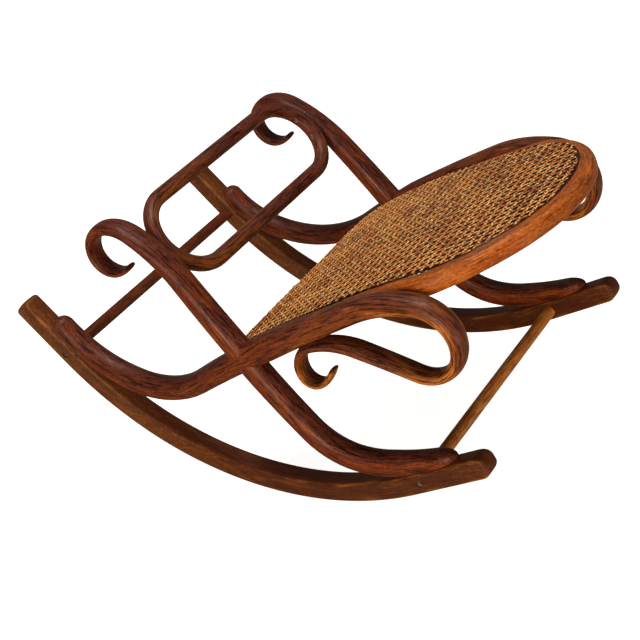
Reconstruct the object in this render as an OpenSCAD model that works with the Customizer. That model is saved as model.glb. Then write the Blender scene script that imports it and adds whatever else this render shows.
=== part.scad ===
// Rocking footstool of bent wood: two scrolled side frames on curved runners,
// a foot ring at the low end and a sloping caned seat at the high, knee end.
// Millimetres. X runs from the foot end to the knee end, Y from the left frame
// to the right frame, Z up. The origin is under the middle of the stool, on the floor.

/* [Side frames] */
// Distance between the middles of the two side frames
frame_spread = 370; // [340:1:410]

/* [Runners] */
// Width and depth of a runner
runner_size = 27; // [24:0.5:30]
// Radius of the middle line of a runner
runner_radius = 390; // [360:1:430]
// Half of the angle that a runner's bend turns through
runner_half_bend = 37; // [35:0.5:40]
// Straight length past the bend at the foot end
foot_straight = 86; // [74:1:100]
// Straight length past the bend at the knee end
knee_straight = 111; // [96:1:124]
// Rounding along the edges of a runner
runner_edge = 6; // [3:0.5:9]

/* [Seat scrolls] */
// Distance from a runner's bend to the left seat scroll's nose, along the foot straight
seat_nose_along = 30; // [24:1:36]
// Distance from a runner's bend to the right seat scroll's nose, bent shorter by hand
seat_nose_along_right = 17; // [12:1:22]
// Height of the nose's middle over the runner
seat_nose_lift = 8.3; // [8:0.1:10]
// Downward slope of the nose against the runner
seat_nose_dip = 4; // [2:0.5:6]
// Length of the round end of the nose
seat_nose_length = 14; // [10:1:18]

/* [Foot scrolls] */
// Distance from a runner's bend to the foot scroll's nose, along the knee straight
foot_nose_along = 42; // [36:1:48]
// Height of the nose's middle over the runner
foot_nose_lift = 5.2; // [5:0.1:8]
// Upward slope of the nose against the runner
foot_nose_rise = 4; // [2:0.5:6]
// Length of the round end of the nose
foot_nose_length = 33; // [24:1:38]

/* [Halving joints] */
// Gap beside each scroll where the two cross in the halving joint
halving_gap = 1.2; // [1.2:0.1:2]

/* [Stretchers] */
// Diameter of the two stretchers
stretcher_diameter = 15; // [12:0.5:17]
// Depth of a stretcher's socket in the runner
socket_depth = 8; // [5:0.5:11]
// Distance of the foot stretcher past the runner's bend
foot_stretcher_along = 5; // [2:0.5:9]
// Distance of the knee stretcher past the runner's bend
knee_stretcher_along = 15; // [11:0.5:20]

/* [Foot ring] */
// Diameter of the foot ring's rod
ring_rod = 18.6; // [16:0.2:20]
// Breadth of the ring between the middles of its two long bars
ring_breadth = 99; // [94:1:104]
// Slope of the ring's plane
ring_slope = 36; // [33:0.5:39]
// Place of the ring along the foot scroll, from the scroll's nose
ring_along = 431; // [425:1:437]
// Distance of the ring's middle under the middle of the scroll
ring_drop = 7; // [5:0.5:9]
// Depth of the flat that seats the ring's end against the scroll
ring_flat = 0.8; // [0.5:0.1:1.5]

/* [Seat hoop] */
// Width of the hoop's rail
hoop_width = 27; // [23:0.5:30]
// Thickness of the hoop's rail
hoop_depth = 23.5; // [20:0.5:26]
// Length of the seat, straight from end to end
hoop_length = 414; // [404:1:424]
// Slope of the seat at its low end
hoop_slope = 42.5; // [42:0.1:43]
// Angle that the seat's bow turns through from end to end
hoop_bow = 14; // [12:0.5:15]
// Place of the low end along the seat scroll, from the scroll's nose
hoop_along = 274; // [269:1:279]
// Height of the cane over the seat scroll at the low end
hoop_lift = 14; // [13:0.1:15]
// Radius of the hoop's low corners, to the middle of the rail
hoop_corner = 40; // [30:1:50]
// Length of the oval knee end, to the middle of the rail
oval_length = 120; // [113:1:127]
// Radius of the oval's two shoulders, to the middle of the rail
oval_shoulder = 49; // [42:1:56]
// Clearance between the hoop and the seat scrolls beside it
hoop_fit = 0.1; // [0.05:0.05:0.3]

/* [Cane] */
// Thickness of the woven cane
cane_depth = 2; // [1.5:0.1:3]
// Distance of the cane's edge from the outer edge of the hoop's sides at the low end
cane_low_inset = 1.4; // [1:0.2:4]
// Distance of the cane's edge from the outer edge of the hoop's sides, where its oval starts
cane_high_inset = 19.4; // [17:0.2:22]
// Length at which the cane starts to narrow
cane_taper_start = 110; // [80:1:140]
// Distance of the cane's edge from the outer edge of the hoop's tip
cane_tip_inset = 15; // [12:1:18]
// Length of the cane's oval end
cane_oval_length = 125; // [120:1:130]
// Radius of the two shoulders of the cane's oval end
cane_shoulder = 112; // [104:1:118]

/* [Screws] */
// Diameter of a screw's head
screw_head = 8; // [7:0.2:9]
// Diameter of a screw's shank
screw_shank = 4; // [3:0.1:5]
// Depth of the recess over a stretcher screw's head
stretcher_recess = 2.5; // [1:0.5:4]
// Depth of the recess over a runner screw's head
runner_recess = 7; // [5:0.5:9]
// Length of a stretcher screw
stretcher_screw_length = 45; // [36:1:55]
// Length of a runner screw
runner_screw_length = 28; // [25:1:30]
// Length of a crossing screw
crossing_screw_length = 24; // [20:1:26]
// Length of a hoop screw
hoop_screw_length = 30; // [26:1:32]
// Length of a ring screw
ring_screw_length = 26; // [22:1:27]

/* [Hidden] */

LEFT = -1;
RIGHT = 1;
frame_y = frame_spread / 2;

// Colours of the woods, the cane and the steel
dark_wood = "#4a2418";
rail_wood = "#6b3a1c";
rod_wood = "#5a2d1a";
cane_gold = "#b98a4a";
screw_steel = "#6e6a64";

// Each bend is its length, its turn in degrees, and the wood's depth and width at its end.
// The seat scrolls start at the nose on the runner and end in a curl. The two were bent by hand,
// and the right one leaves its runner sooner.
seat_first = [23, 29];
seat_rise_left = [[114, 38, 30, 31], [108, 48, 28, 31], [123, -4, 33, 31]];
seat_rise_right = [[75, 36, 28, 31], [160, 50, 25, 31], [93, -4, 33, 31]];
seat_loop_left = [[140, -3, 27, 31], [80, -27, 24, 30], [79, -103, 16, 28]];
seat_loop_right = [[137, -3, 27, 31], [83, -28, 24, 30], [83, -103, 16, 28]];
seat_curl = [
    [68, -93, 13, 28],
    [71, 3, 17, 28],
    [64, 38, 12, 27],
    [45, 88, 8, 26],
    [35, 116, 8, 24],
    [18, 15, 6, 20]
];
// The foot scrolls start at the nose near the knee end and end in a curl. The right one leans
// lower past the crossing.
foot_first = [22, 29];
foot_rise = [[55, -8.5, 28, 30], [41, -17.5, 28, 30], [71, -43.5, 27, 30], [94, -5, 30, 30]];
foot_top_left = [[124, -3, 24, 30], [82, 25, 15, 30]];
foot_top_right = [[124, 3.5, 24, 30], [82, 22, 15, 30]];
foot_curl = [
    [41, 49, 15, 27],
    [41, 72, 11, 25],
    [34, 75, 10, 24],
    [29, 61, 6, 21]
];
function seat_bends(side) =
    side < 0
        ? concat(seat_rise_left, seat_loop_left, seat_curl)
        : concat(seat_rise_right, seat_loop_right, seat_curl);
function foot_bends(side) = concat(foot_rise, side < 0 ? foot_top_left : foot_top_right, foot_curl);

// Superellipse power of each section: 2 is an ellipse, and more is squarer
seat_roundness = 2;
foot_roundness = 2.5;
hoop_roundness = 2.6;

// Sides of a swept section, and the most turn and length between two of its rings
sides = 16;
ring_turn = 10;
ring_step = 30;
// Rings of a scroll's round nose, and the angle up to which they go round it
nose_rings = 4;
nose_turn = 80;
// Stretches between rings along a side and along the low end of the hoop
rail_steps = 9;

// A cutter runs this far past the face that it opens
overrun = 5;
// A runner's straight ends run this far into its bend, and are slimmer by this much all round, so
// that bend and ends join as one piece
runner_lap = 2;
runner_ease = 0.05;

// Screws: the head's rim, the slot, the point, and the depth that a head sinks into its wood
head_rim = 0.6;
slot_width = 1.2;
slot_depth = 1;
point_length = 3;
point_radius = 0.8;
crossing_screw_sink = 1;
hoop_screw_sink = 8;
ring_screw_sink = 3;

// Hoop screws by their length up the seat, and the distance between the two ring screws
hoop_screw_spots = [80, 140, 200];
ring_screw_spread = 30;

// Runner screws by their side of the middle, their length past the bend and their angle before
// its end: two under each scroll's nose
runner_screw_spots = [
    [-1, 26, 0],
    [-1, 0, 5],
    [1, 50, 0],
    [1, 0, 4]
];

// Width of the flat at a runner's domed knee end
knee_end_flat = 1;

// Lengths between which each scroll is looked along for the crossing
seat_search = [240 : 2 : 380];
foot_search = [210 : 2 : 340];

// A place is [x, z, heading in degrees] in the side view. This one lies a stretch further on,
// past an arc of the given length and turn.
function further(place, length, turn) =
    let (chord = turn == 0 ? length : 360 * length / (PI * turn) * sin(turn / 2))
    [
        place[0] + chord * cos(place[2] + turn / 2),
        place[1] + chord * sin(place[2] + turn / 2),
        place[2] + turn
    ];

// The place beside another, to the left of its heading
function beside(place, distance) =
    [place[0] - distance * sin(place[2]), place[1] + distance * cos(place[2]), place[2]];

function bend_starts(bends, place, i = 0) =
    i == len(bends)
        ? [place]
        : concat([place], bend_starts(bends, further(place, bends[i][0], bends[i][1]), i + 1));

function place_along(bends, place, length, i = 0) =
    length <= bends[i][0] || i == len(bends) - 1
        ? further(place, length, bends[i][1] * length / bends[i][0])
        : place_along(bends, further(place, bends[i][0], bends[i][1]), length - bends[i][0], i + 1);

// Depth and width of the wood at a length along its bends
function size_along(bends, size, length, i = 0) =
    let (next = [bends[i][2], bends[i][3]])
    length <= bends[i][0] || i == len(bends) - 1
        ? size + (next - size) * length / bends[i][0]
        : size_along(bends, next, length - bends[i][0], i + 1);

// The runner's bend has its centre above the floor, before the stool is centred
bend_height = runner_radius + runner_size / 2;
top_radius = runner_radius - runner_size / 2;

// A place on the runner's middle line past its bend, heading away from the bend
function on_straight(toward, along, lift = 0) =
    let (a = runner_half_bend)
    [
        toward * ((runner_radius - lift) * sin(a) + along * cos(a)),
        bend_height - (runner_radius - lift) * cos(a) + along * sin(a)
    ];
function on_top(toward) = on_straight(toward, 0, runner_size / 2);

foot_stretcher_place = on_straight(-1, foot_stretcher_along);
knee_stretcher_place = on_straight(1, knee_stretcher_along);
stretcher_reach = frame_y - runner_size / 2 + socket_depth;

// A point of a scroll, kept on or above the top face of the runner
function over_runner(x, z) =
    let (
        toward = x < 0 ? -1 : 1,
        out = [x, z - bend_height],
        up = [-toward * sin(runner_half_bend), cos(runner_half_bend)],
        height = ([x, z] - on_top(toward)) * up
    )
    atan2(abs(x), bend_height - z) < runner_half_bend
        ? [0, bend_height] + out * min(1, top_radius / norm(out))
        : [x, z] - min(height, 0) * up;

function seat_start(side) = concat(
    on_straight(-1, side < 0 ? seat_nose_along : seat_nose_along_right, runner_size / 2 + seat_nose_lift),
    -runner_half_bend - seat_nose_dip
);
foot_start = concat(
    on_straight(1, foot_nose_along, runner_size / 2 + foot_nose_lift),
    180 + runner_half_bend - foot_nose_rise
);

// The scrolls cross where two places on their straight stretches lie nearest each other
function apart(a, b) = norm([a[0] - b[0], a[1] - b[1]]);
function find_crossing(side) =
    let (
        seats = [for (d = seat_search) concat(place_along(seat_bends(side), seat_start(side), d), d)],
        feet = [for (d = foot_search) concat(place_along(foot_bends(side), foot_start, d), d)],
        least = min([for (a = seats) for (b = feet) apart(a, b)])
    )
    [for (a = seats) for (b = feet) if (apart(a, b) == least) [a, b]][0];
crossings = [find_crossing(LEFT), find_crossing(RIGHT)];
function seat_crossing(side) = crossings[side < 0 ? 0 : 1][0];
function foot_crossing(side) = crossings[side < 0 ? 0 : 1][1];
function seat_at_crossing(side) = size_along(seat_bends(side), seat_first, seat_crossing(side)[3]);
function foot_at_crossing(side) = size_along(foot_bends(side), foot_first, foot_crossing(side)[3]);

// The seat's surface is a shallow arc in the side view, and its plan lies along the arc's chord
hoop_foot = beside(place_along(seat_bends(LEFT), seat_start(LEFT), hoop_along), hoop_lift);
bow_radius = hoop_length / 2 / sin(hoop_bow / 2);
bow_centre = [hoop_foot[0] + bow_radius * sin(hoop_slope), hoop_foot[1] - bow_radius * cos(hoop_slope)];
chord_slope = hoop_slope - hoop_bow / 2;
hoop_sink = cane_depth + hoop_depth / 2;
seat_width = seat_loop_left[0][3];
hoop_side = frame_y - seat_width / 2 - hoop_fit - hoop_width / 2;
oval_start = hoop_length - hoop_width / 2 - oval_length;

// The point of the seat over a length along its chord, sunk square to the bow under the cane's face
function on_bow(u, sink) =
    let (
        base = hoop_foot + u * [cos(chord_slope), sin(chord_slope), 0],
        up = [-sin(chord_slope), cos(chord_slope)],
        from = [base[0] - bow_centre[0], base[1] - bow_centre[1]],
        rise = -from * up + sqrt(pow(from * up, 2) - from * from + pow(bow_radius - sink, 2)),
        x = base[0] + rise * up[0],
        z = base[1] + rise * up[1]
    )
    [x, z, atan2(z - bow_centre[1], x - bow_centre[0]) - 90];

// The oval end of a seat outline has a wide arc at its tip and a tighter one at each shoulder
function tip_radius(length, half, shoulder) =
    (length * length + half * half - 2 * half * shoulder) / (2 * (length - shoulder));
function arc(centre, radius, from, to, step) =
    let (n = ceil(abs(to - from) / step))
    [for (i = [0 : n]) centre + radius * [cos(from + (to - from) * i / n), sin(from + (to - from) * i / n)]];
function oval_end(start, length, half, shoulder, step) =
    let (
        tip = tip_radius(length, half, shoulder),
        turn = atan2(half - shoulder, tip - length),
        side = arc([start, half - shoulder], shoulder, 90, turn, step),
        cap = arc([start + length - tip, 0], tip, turn, -turn, step / 2)
    )
    concat(
        side,
        [for (i = [1 : len(cap) - 2]) cap[i]],
        [for (i = [len(side) - 1 : -1 : 0]) [side[i][0], -side[i][1]]]
    );

// Middle line of the hoop's rail in its plan, once round
rail_low = hoop_width / 2;
rail_corner = arc([rail_low + hoop_corner, hoop_side - hoop_corner], hoop_corner, 180, 90, 15);
side_run = oval_start - rail_low - hoop_corner;
low_run = 2 * (hoop_side - hoop_corner);
rail_line = concat(
    rail_corner,
    [for (i = [1 : rail_steps - 1]) [rail_low + hoop_corner + side_run * i / rail_steps, hoop_side]],
    oval_end(oval_start, oval_length, hoop_side, oval_shoulder, 10),
    [for (i = [rail_steps - 1 : -1 : 1]) [rail_low + hoop_corner + side_run * i / rail_steps, -hoop_side]],
    [for (i = [len(rail_corner) - 1 : -1 : 0]) [rail_corner[i][0], -rail_corner[i][1]]],
    [for (i = [1 : rail_steps - 1]) [rail_low, hoop_side - hoop_corner - low_run + low_run * i / rail_steps]]
);

// One point of a superellipse, half sizes a and b
function rounded(angle, a, b, power) = [
    a * sign(cos(angle)) * pow(abs(cos(angle)), 2 / power),
    b * sign(sin(angle)) * pow(abs(sin(angle)), 2 / power)
];

// Rings of the hoop's rail, each square to the rail's middle line on the bowed surface
hoop_rings = [for (i = [0 : len(rail_line) - 1])
    let (
        n = len(rail_line),
        here = rail_line[i],
        ahead = rail_line[(i + 1) % n] - rail_line[(i + n - 1) % n],
        out = [-ahead[1], ahead[0]] / norm(ahead),
        middle = on_bow(here[0], hoop_sink),
        run = [cos(middle[2]), 0, sin(middle[2])],
        up = [-sin(middle[2]), 0, cos(middle[2])]
    )
    [for (k = [0 : sides - 1])
        let (p = rounded(360 * k / sides, hoop_width / 2, hoop_depth / 2, hoop_roundness))
        [middle[0], here[1], middle[1]] + p[0] * (out[0] * run + [0, out[1], 0]) + p[1] * up
    ]
];

// The stool is centred between the runners' foot ends and the hoop's tip
foot_end = on_straight(-1, foot_straight - runner_edge, -(runner_size / 2 - runner_edge));
low_x = foot_end[0] - runner_edge;
high_x = max([for (ring = hoop_rings) for (p = ring) p[0]]);
centre_x = (low_x + high_x) / 2;

ring_place = beside(place_along(foot_bends(LEFT), foot_start, ring_along), ring_drop);
ring_end = frame_y - foot_top_left[0][3] / 2 - ring_rod / 2 + ring_flat;

module side_view() {
    translate([-centre_x, 0, 0])
        rotate([90, 0, 0])
            children();
}

// A ring of the polyhedron for each place: its points, and the faces between rings
module tube(rings, closed) {
    n = len(rings);
    m = len(rings[0]);
    points = [for (ring = rings) for (p = ring) p];
    middle_of = [for (ring = [rings[0], rings[n - 1]]) [for (k = [0 : 2]) mean([for (p = ring) p[k]])]];
    walls = [for (i = [0 : closed ? n - 1 : n - 2]) for (k = [0 : m - 1])
        let (
            next = (k + 1) % m,
            far = ((i + 1) % n) * m,
            a = i * m + k,
            b = i * m + next,
            c = far + k,
            d = far + next
        )
        each [[a, b, d], [a, d, c]]
    ];
    caps = closed ? [] : [for (k = [0 : m - 1])
        each [[n * m, (k + 1) % m, k], [n * m + 1, (n - 1) * m + k, (n - 1) * m + (k + 1) % m]]
    ];
    polyhedron(concat(points, closed ? [] : middle_of), concat(walls, caps), convexity = 8);
}
function mean(list) = list * [for (i = list) 1] / len(list);

// Places along a scroll with the wood's depth and width, after the rings of its round nose
function stations(bends, start, first, nose_length) =
    let (starts = bend_starts(bends, start))
    concat(
        [for (j = [nose_rings : -1 : 1])
            let (a = nose_turn * j / nose_rings, p = further(start, -nose_length * sin(a), 0))
            concat(p, first * cos(a))
        ],
        [for (i = [0 : len(bends) - 1])
            let (
                from = i == 0 ? first : [bends[i - 1][2], bends[i - 1][3]],
                grow = [bends[i][2], bends[i][3]] - from,
                steps = max(ceil(abs(bends[i][1]) / ring_turn), ceil(bends[i][0] / ring_step))
            )
            for (t = [0 : 1 / steps : 1 - 0.5 / steps])
                concat(further(starts[i], bends[i][0] * t, bends[i][1] * t), from + grow * t)
        ],
        [concat(starts[len(bends)], [bends[len(bends) - 1][2], bends[len(bends) - 1][3]])]
    );

// A scroll as a bent rod that swells and tapers, seated on the runner
module bent_rod(bends, start, first, nose_length, power, side) {
    rings = [for (s = stations(bends, start, first, nose_length))
        [for (k = [0 : sides - 1])
            let (
                p = rounded(360 * k / sides, s[3] / 2, s[4] / 2, power),
                q = over_runner(s[0] - p[0] * sin(s[2]), s[1] + p[0] * cos(s[2]))
            )
            [q[0] - centre_x, side * frame_y + p[1], q[1]]
        ]
    ];
    tube(rings, false);
}

// Half outline of a screw: head, cone, shank and a short point. It begins at the given height.
function screw_outline(length, from) = [
    [0, from],
    [screw_head / 2, from],
    [screw_head / 2, head_rim],
    [screw_shank / 2, head_rim + (screw_head - screw_shank) / 2],
    [screw_shank / 2, length - point_length],
    [point_radius, length],
    [0, length]
];

// A countersunk wood screw along +Z, its head's face at the origin and its slot across it
module wood_screw(length) {
    difference() {
        rotate_extrude($fn = 32)
            polygon(screw_outline(length, 0));
        translate([-screw_head, -slot_width / 2, -slot_depth])
            cube([2 * screw_head, slot_width, 2 * slot_depth]);
    }
}

// The hole that the screw fills, with a round recess over its head
module screw_hole(length, recess) {
    rotate_extrude($fn = 32)
        polygon(screw_outline(length, -recess));
}

module at_stretcher_screws(side) {
    for (x = [foot_stretcher_place[0], knee_stretcher_place[0]])
        let (z = x < 0 ? foot_stretcher_place[1] : knee_stretcher_place[1])
            translate([x - centre_x, side * (frame_y + runner_size / 2 - stretcher_recess), z])
                rotate([side * 90, 0, 0])
                    children();
}

// Runner screws stand square to the runner
module at_runner_screws(side) {
    for (spot = runner_screw_spots)
        let (
            a = runner_half_bend - spot[2],
            r = runner_radius + runner_size / 2 - runner_recess,
            x = spot[0] * (r * sin(a) + spot[1] * cos(a)),
            z = bend_height - r * cos(a) + spot[1] * sin(a)
        )
            translate([x - centre_x, side * frame_y, z])
                rotate([0, -spot[0] * a, 0])
                    children();
}

module at_crossing_screw(side) {
    middle = (seat_crossing(side) + foot_crossing(side)) / 2;
    inner_face = frame_y - foot_at_crossing(side)[1] / 2;
    translate([middle[0] - centre_x, side * (inner_face + crossing_screw_sink), middle[1]])
        rotate([-side * 90, 0, 0])
            children();
}

module at_hoop_screws(side) {
    for (u = hoop_screw_spots)
        let (p = on_bow(u, hoop_sink))
            translate([p[0] - centre_x, side * (hoop_side - hoop_width / 2 + hoop_screw_sink), p[1]])
                rotate([-side * 90, 0, 0])
                    children();
}

// Ring screws go from inside the ring's end into the scroll, one each way from the middle
module at_ring_screws(side) {
    for (v = [-1, 1])
        let (
            bulge = sqrt(pow(ring_breadth / 2, 2) - pow(ring_screw_spread / 2, 2)) - ring_breadth / 2,
            u = v * ring_screw_spread / 2
        )
            translate([
                ring_place[0] - u * cos(ring_slope) - centre_x,
                side * (ring_end + bulge - ring_rod / 2 + ring_screw_sink),
                ring_place[1] + u * sin(ring_slope)
            ])
                rotate([-side * 90, 0, 0])
                    children();
}

module rounded_square(width, height, radius) {
    square([width - 2 * radius, height], center = true);
    square([width, height - 2 * radius], center = true);
    for (x = [-1, 1])
        for (y = [-1, 1])
            translate([x * (width / 2 - radius), y * (height / 2 - radius)])
                circle(radius, $fn = 48);
}

// A straight end of a runner, from the end of the bend: squarish at the foot, domed at the knee
module runner_straight(toward, length, corner) {
    place = on_straight(toward, 0);
    size = runner_size - 2 * runner_ease;
    translate([place[0], place[1], 0])
        rotate([0, 0, toward > 0 ? runner_half_bend : 180 - runner_half_bend])
            intersection() {
                translate([-runner_lap, 0, 0])
                    rotate([90, 0, 90])
                        linear_extrude(length + runner_lap)
                            rounded_square(size, size, runner_edge - runner_ease);
                linear_extrude(2 * runner_size, center = true) {
                    translate([-overrun, -runner_size])
                        square([length + overrun - corner, 2 * runner_size]);
                    translate([length / 2, 0])
                        rounded_square(length, runner_size, corner);
                }
            }
}

module runner(side) {
    difference() {
        translate([0, side * frame_y, 0])
            side_view() {
                translate([0, bend_height, 0])
                    rotate_extrude(angle = 2 * runner_half_bend, start = -90 - runner_half_bend, $fn = 360)
                        translate([runner_radius, 0])
                            rounded_square(runner_size, runner_size, runner_edge);
                runner_straight(-1, foot_straight, runner_edge);
                runner_straight(1, knee_straight, (runner_size - knee_end_flat) / 2);
            }
        for (place = [foot_stretcher_place, knee_stretcher_place])
            translate([place[0] - centre_x, side * (stretcher_reach - frame_spread), place[1]])
                rotate([side * -90, 0, 0])
                    cylinder(h = frame_spread, d = stretcher_diameter, $fn = 64);
        at_stretcher_screws(side)
            screw_hole(stretcher_screw_length, stretcher_recess + overrun);
        at_runner_screws(side)
            screw_hole(runner_screw_length, runner_recess + overrun);
    }
}

module seat_scroll(side) {
    reach = 3 * seat_width;
    here = foot_crossing(side);
    notch = foot_at_crossing(side)[0] + 2 * halving_gap;
    difference() {
        bent_rod(seat_bends(side), seat_start(side), seat_first, seat_nose_length, seat_roundness, side);
        translate([here[0] - centre_x, side * frame_y, here[1]])
            rotate([0, -here[2], 0])
                translate([-reach / 2, side > 0 ? -reach : 0, -notch / 2])
                    cube([reach, reach, notch]);
        at_runner_screws(side)
            screw_hole(runner_screw_length, 0);
        at_crossing_screw(side)
            screw_hole(crossing_screw_length, 0);
        at_hoop_screws(side)
            screw_hole(hoop_screw_length, 0);
    }
}

module foot_scroll(side) {
    reach = 3 * seat_width;
    here = seat_crossing(side);
    notch = seat_at_crossing(side)[0] + 2 * halving_gap;
    difference() {
        bent_rod(foot_bends(side), foot_start, foot_first, foot_nose_length, foot_roundness, side);
        translate([here[0] - centre_x, side * frame_y, here[1]])
            rotate([0, -here[2], 0])
                translate([-reach / 2, side > 0 ? 0 : -reach, -notch / 2])
                    cube([reach, reach, notch]);
        at_runner_screws(side)
            screw_hole(runner_screw_length, 0);
        at_crossing_screw(side)
            screw_hole(crossing_screw_length, crossing_screw_sink + overrun);
        at_ring_screws(side)
            screw_hole(ring_screw_length, 0);
    }
}

module stretcher(place) {
    difference() {
        translate([place[0] - centre_x, stretcher_reach, place[1]])
            rotate([90, 0, 0])
                cylinder(h = 2 * stretcher_reach, d = stretcher_diameter, $fn = 64);
        for (side = [LEFT, RIGHT])
            at_stretcher_screws(side)
                screw_hole(stretcher_screw_length, 0);
    }
}

module foot_ring() {
    half = ring_end - ring_breadth / 2;
    color(rod_wood)
        difference() {
            translate([ring_place[0] - centre_x, 0, ring_place[1]])
                rotate([0, ring_slope, 0])
                    for (end = [-1, 1]) {
                        translate([end * ring_breadth / 2, half, 0])
                            rotate([90, 0, 0])
                                cylinder(h = 2 * half, d = ring_rod, $fn = 64);
                        translate([0, end * half, 0])
                            rotate_extrude(angle = 180, start = end > 0 ? 0 : 180, $fn = 128)
                                translate([ring_breadth / 2, 0])
                                    circle(d = ring_rod, $fn = 64);
                    }
            for (end = [-1, 1])
                translate([ring_place[0] - centre_x, end * (ring_end + ring_rod - ring_flat), ring_place[1]])
                    cube([2 * ring_breadth, ring_rod, 2 * ring_breadth], center = true);
            for (side = [LEFT, RIGHT])
                at_ring_screws(side)
                    screw_hole(ring_screw_length, ring_screw_sink + overrun);
        }
}

module seat_hoop() {
    color(rail_wood)
        difference() {
            translate([-centre_x, 0, 0])
                tube(hoop_rings, true);
            for (side = [LEFT, RIGHT])
                at_hoop_screws(side)
                    screw_hole(hoop_screw_length, hoop_screw_sink + overrun);
        }
}

// The cane in its plan
module cane_outline() {
    outer = hoop_side + hoop_width / 2;
    low = outer - cane_low_inset;
    oval = hoop_length - cane_tip_inset - cane_oval_length;
    polygon(concat(
        arc([hoop_corner, low - hoop_corner], hoop_corner, 180, 90, 10),
        [[cane_taper_start, low]],
        oval_end(oval, cane_oval_length, outer - cane_high_inset, cane_shoulder, 6),
        [[cane_taper_start, -low]],
        [for (p = arc([hoop_corner, low - hoop_corner], hoop_corner, 90, 180, 10)) [p[0], -p[1]]]
    ));
}

module cane_panel() {
    color(cane_gold)
        intersection() {
            side_view()
                translate([bow_centre[0], bow_centre[1], 0])
                    linear_extrude(frame_spread, center = true)
                        difference() {
                            circle(bow_radius, $fn = 1440);
                            circle(bow_radius - cane_depth, $fn = 1440);
                        }
            translate([hoop_foot[0] - centre_x, 0, hoop_foot[1]])
                rotate([0, -chord_slope, 0])
                    linear_extrude(hoop_length / 4, center = true)
                        cane_outline();
        }
}

module screws(kind, side) {
    color(screw_steel) {
        if (kind == "stretcher")
            at_stretcher_screws(side)
                wood_screw(stretcher_screw_length);
        if (kind == "runner")
            at_runner_screws(side)
                wood_screw(runner_screw_length);
        if (kind == "crossing")
            at_crossing_screw(side)
                wood_screw(crossing_screw_length);
        if (kind == "hoop")
            at_hoop_screws(side)
                wood_screw(hoop_screw_length);
        if (kind == "ring")
            at_ring_screws(side)
                wood_screw(ring_screw_length);
    }
}

color(rail_wood) runner(LEFT);  // runner_left
color(rail_wood) runner(RIGHT);  // runner_right
color(dark_wood) seat_scroll(LEFT);  // seat_scroll_left
color(dark_wood) seat_scroll(RIGHT);  // seat_scroll_right
color(dark_wood) foot_scroll(LEFT);  // foot_scroll_left
color(dark_wood) foot_scroll(RIGHT);  // foot_scroll_right
color(rod_wood) stretcher(foot_stretcher_place);  // foot_stretcher
color(rod_wood) stretcher(knee_stretcher_place);  // knee_stretcher
foot_ring();
seat_hoop();
cane_panel();
screws("stretcher", LEFT);  // stretcher_screws_left
screws("stretcher", RIGHT);  // stretcher_screws_right
screws("runner", LEFT);  // runner_screws_left
screws("runner", RIGHT);  // runner_screws_right
screws("crossing", LEFT);  // crossing_screw_left
screws("crossing", RIGHT);  // crossing_screw_right
screws("hoop", LEFT);  // hoop_screws_left
screws("hoop", RIGHT);  // hoop_screws_right
screws("ring", LEFT);  // ring_screws_left
screws("ring", RIGHT);  // ring_screws_right
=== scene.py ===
# A rocking footstool of bentwood: two scrolled side frames on curved runners, a foot ring at the
# low end and a bowed, sloping caned seat. Metres, in the frame of the CAD model: X runs from the
# foot end to the knee end, Y from the left side frame to the right one, Z up.
import bmesh
import bpy
import math
import numpy as np
from mathutils import Matrix, Vector


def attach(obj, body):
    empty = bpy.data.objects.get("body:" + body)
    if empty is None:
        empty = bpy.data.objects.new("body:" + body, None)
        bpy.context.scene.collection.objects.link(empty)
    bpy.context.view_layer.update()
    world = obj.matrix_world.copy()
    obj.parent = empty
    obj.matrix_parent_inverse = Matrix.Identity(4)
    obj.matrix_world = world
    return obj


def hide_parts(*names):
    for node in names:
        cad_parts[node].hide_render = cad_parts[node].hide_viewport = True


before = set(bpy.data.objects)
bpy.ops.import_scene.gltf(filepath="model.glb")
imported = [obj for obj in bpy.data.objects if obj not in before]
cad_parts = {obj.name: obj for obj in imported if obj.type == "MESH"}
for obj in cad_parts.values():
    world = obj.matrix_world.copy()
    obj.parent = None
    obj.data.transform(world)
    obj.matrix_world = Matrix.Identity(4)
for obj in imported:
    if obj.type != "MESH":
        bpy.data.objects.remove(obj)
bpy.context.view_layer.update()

# Runners: square lengths of beech, steamed and bent round a form, with straight ends. The foot
# end is cut square and eased, and the knee end is rounded over. Each screw stands in a recess, and
# the corners are worn pale by years of rocking.
mm = 0.001
SHIFT = 10.783 * mm
FRAME_Y = 185 * mm
RUNNER_RADIUS = 390 * mm
RUNNER_SIDE = 27
RUNNER_HALF = RUNNER_SIDE / 2 * mm
BEND = 37
HALF_BEND = math.radians(BEND)
BEND_HEIGHT = RUNNER_RADIUS + RUNNER_HALF
SIDES = {"left": -1, "right": 1}
SCREW_HEAD = 8 * mm
HEAD_SINK = 1 * mm
STRETCHER_RECESS = 2.5 * mm
RUNNER_RECESS = 7 * mm
RECESS_FLARE = 2.2 * mm


def on_straight(toward, along, lift=0.0):
    """A place past the runner's bend, towards the foot (-1) or the knee (1), lifted off its middle."""
    r = RUNNER_RADIUS - lift
    x = toward * (r * math.sin(HALF_BEND) + along * math.cos(HALF_BEND))
    z = BEND_HEIGHT - r * math.cos(HALF_BEND) + along * math.sin(HALF_BEND)
    return x, z


def walk(x, z, heading, bends, step):
    """Places along a rod in the side view. Each bend is a length, a turn in degrees, and the wood's
    depth and width at its end, all in mm. The first bend of no length gives the sizes at the start."""
    size = Vector(bends[0][2:])
    along = 0.0
    places = []
    for length, turn, *end in bends[1:]:
        count = max(round(length / step), round(abs(turn) / 5), 1)
        for i in range(count):
            t = i / count
            wood = size.lerp(Vector(end), t)
            places.append(further(x, z, heading, length * t, turn * t) + (*wood, along + length * t))
        x, z, heading = further(x, z, heading, length, turn)
        size = Vector(end)
        along += length
    places.append((x, z, heading, *size, along))
    return places


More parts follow.
